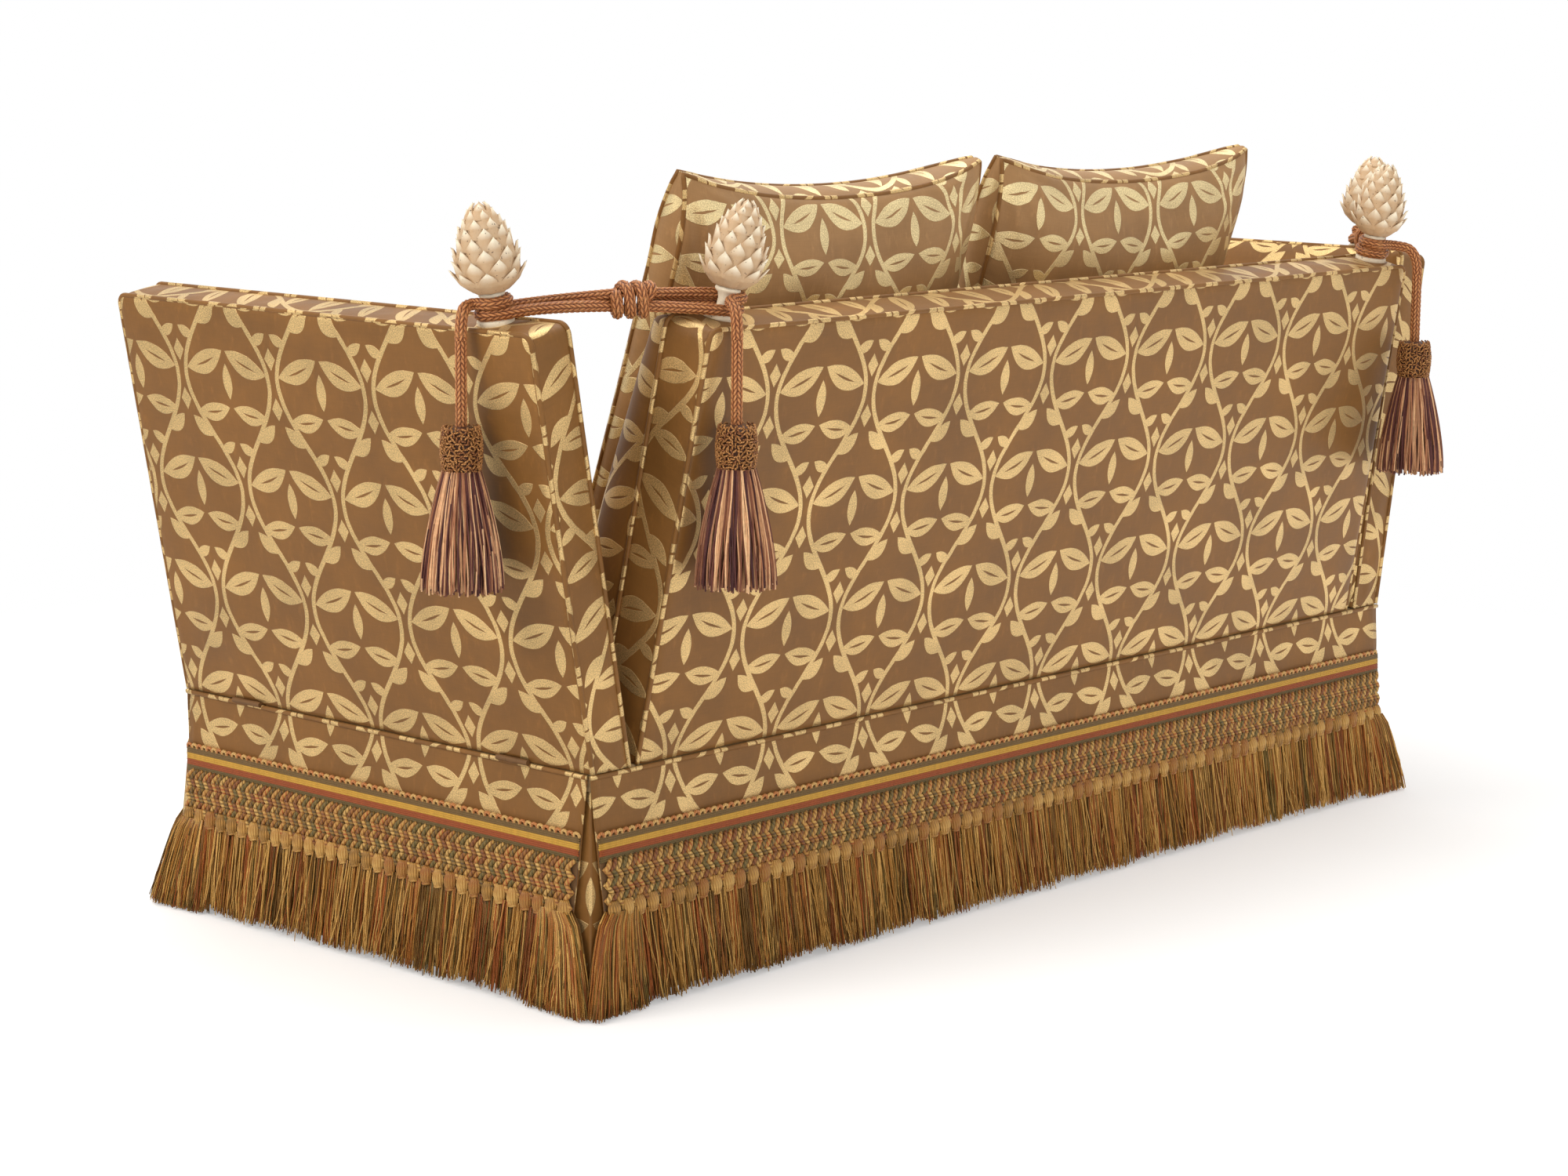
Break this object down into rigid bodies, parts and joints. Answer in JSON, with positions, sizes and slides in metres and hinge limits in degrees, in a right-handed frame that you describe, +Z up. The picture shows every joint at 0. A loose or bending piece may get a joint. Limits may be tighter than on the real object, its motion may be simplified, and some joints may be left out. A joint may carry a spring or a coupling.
{
  "type": "knole sofa",
  "caption": "Long straight-backed upholstered sofa with hinged drop arms tied to the back by cords, carved finials, tassels, loose cushions and a skirt with deep fringe.",
  "frame": {"origin": "on the floor, under the centre of the box round the sofa without its hanging tassels", "axes": "+Z up, the sitter faces -Y, right (+X) and left (-X) as someone in front of the sofa sees them"},
  "size_m": [2.268, 1.07, 1.1231],
  "materials": {
    "upholstery": "satin woven cloth, gold pattern on bronze brown",
    "cushion_cloth": "satin woven cloth, gold pattern on bronze brown",
    "deck_cloth": "plain cotton",
    "webbing": "jute webbing",
    "frame_timber": "planed hardwood",
    "foot_timber": "dark stained, waxed",
    "finial_timber": "carved, aged cream paint",
    "hinge_steel": "zinc plated",
    "rope": "braided silky cord",
    "tassel": "silky bullion strands",
    "trimming": "woven braid, lattice and cut fringe"
  },
  "bodies": {
    "base_and_back": {"back_outer_panel": "upholstery", "back_border": "upholstery", "back_inner_pad": "upholstery", "back_frame": "frame_timber", "front_rail": "frame_timber", "rear_rail": "frame_timber", "centre_rail": "frame_timber", "side_rail_right": "frame_timber", "side_rail_left": "frame_timber", "corner_blocks": "frame_timber", "feet": "foot_timber", "back_webbing": "webbing", "seat_webbing": "webbing", "deck_pad": "deck_cloth", "hinge_pins": "hinge_steel", "hinge_base_leaves_right": "hinge_steel", "hinge_base_leaves_left": "hinge_steel", "skirt_front": "upholstery", "skirt_rear": "upholstery", "skirt_right": "upholstery", "skirt_left": "upholstery", "corner_pleats": "upholstery", "trim_front": "trimming", "trim_rear": "trimming", "trim_right": "trimming", "trim_left": "trimming", "back_finial_right": "finial_timber", "back_finial_left": "finial_timber", "tie_cord_right": "rope", "tie_cord_left": "rope"},
    "arm_right": {"arm_outer_panel_right": "upholstery", "arm_border_right": "upholstery", "arm_inner_pad_right": "upholstery", "arm_frame_right": "frame_timber", "hinge_arm_leaves_right": "hinge_steel", "arm_finial_right": "finial_timber", "arm_cord_right": "rope"},
    "tie_loop_right": {"tie_loop_right": "rope"},
    "arm_tassel_right": {"arm_tassel_cord_right": "rope", "arm_tassel_right": "tassel"},
    "back_tassel_right": {"back_tassel_cord_right": "rope", "back_tassel_right": "tassel"},
    "seat_cushion_right": {"seat_cushion_right": "cushion_cloth"},
    "back_cushion_right": {"back_cushion_right": "cushion_cloth"},
    "arm_left": {"arm_outer_panel_left": "upholstery", "arm_border_left": "upholstery", "arm_inner_pad_left": "upholstery", "arm_frame_left": "frame_timber", "hinge_arm_leaves_left": "hinge_steel", "arm_finial_left": "finial_timber", "arm_cord_left": "rope"},
    "tie_loop_left": {"tie_loop_left": "rope"},
    "arm_tassel_left": {"arm_tassel_cord_left": "rope", "arm_tassel_left": "tassel"},
    "back_tassel_left": {"back_tassel_cord_left": "rope", "back_tassel_left": "tassel"},
    "seat_cushion_left": {"seat_cushion_left": "cushion_cloth"},
    "back_cushion_left": {"back_cushion_left": "cushion_cloth"}
  },
  "joints": [
    {"name": "arm_drop_right", "type": "hinge", "parent": "base_and_back", "child": "arm_right", "pos_m": [0.9543, -0.04653, 0.325], "axis": [0, 1, 0], "range_deg": [0, 60]},
    {"name": "loop_release_right", "type": "hinge", "parent": "base_and_back", "child": "tie_loop_right", "pos_m": [0.8995, 0.35748, 0.952], "axis": [0.5288, 0.8487, 0], "range_deg": [0, 90], "deforming": ["tie_loop_right"]},
    {"name": "arm_tassel_swing_right", "type": "hinge", "parent": "arm_right", "child": "arm_tassel_right", "pos_m": [1.07902, 0.27077, 0.90384], "axis": [0, 1, 0], "range_deg": [-60, 0]},
    {"name": "back_tassel_swing_right", "type": "hinge", "parent": "base_and_back", "child": "back_tassel_right", "pos_m": [0.8047, 0.50375, 0.90391], "axis": [1, 0, 0], "range_deg": [-3, 40]},
    {"name": "seat_cushion_slide_right", "type": "slide", "parent": "base_and_back", "child": "seat_cushion_right", "axis": [0, -1, 0], "range_m": [0, 0.3]},
    {"name": "back_cushion_lift_right", "type": "slide", "parent": "base_and_back", "child": "back_cushion_right", "axis": [0, 0, 1], "range_m": [0, 0.35]},
    {"name": "arm_drop_left", "type": "hinge", "parent": "base_and_back", "child": "arm_left", "pos_m": [-0.9543, -0.04653, 0.325], "axis": [0, -1, 0], "range_deg": [0, 60]},
    {"name": "loop_release_left", "type": "hinge", "parent": "base_and_back", "child": "tie_loop_left", "pos_m": [-0.92049, 0.35553, 0.952], "axis": [0.5288, -0.8487, 0], "range_deg": [0, 90], "deforming": ["tie_loop_left"]},
    {"name": "arm_tassel_swing_left", "type": "hinge", "parent": "arm_left", "child": "arm_tassel_left", "pos_m": [-1.07902, 0.27077, 0.90384], "axis": [0, -1, 0], "range_deg": [-60, 0]},
    {"name": "back_tassel_swing_left", "type": "hinge", "parent": "base_and_back", "child": "back_tassel_left", "pos_m": [-0.8387, 0.50375, 0.90391], "axis": [1, 0, 0], "range_deg": [-3, 40]},
    {"name": "seat_cushion_slide_left", "type": "slide", "parent": "base_and_back", "child": "seat_cushion_left", "axis": [0, -1, 0], "range_m": [0, 0.3]},
    {"name": "back_cushion_lift_left", "type": "slide", "parent": "base_and_back", "child": "back_cushion_left", "axis": [0, 0, 1], "range_m": [0, 0.35]}
  ],
  "couplings": [
    {"joint": "loop_release_right", "follows": "arm_drop_right", "ratio": 1.5},
    {"joint": "arm_tassel_swing_right", "follows": "arm_drop_right", "ratio": -1},
    {"joint": "loop_release_left", "follows": "arm_drop_left", "ratio": 1.5},
    {"joint": "arm_tassel_swing_left", "follows": "arm_drop_left", "ratio": -1}
  ]
}
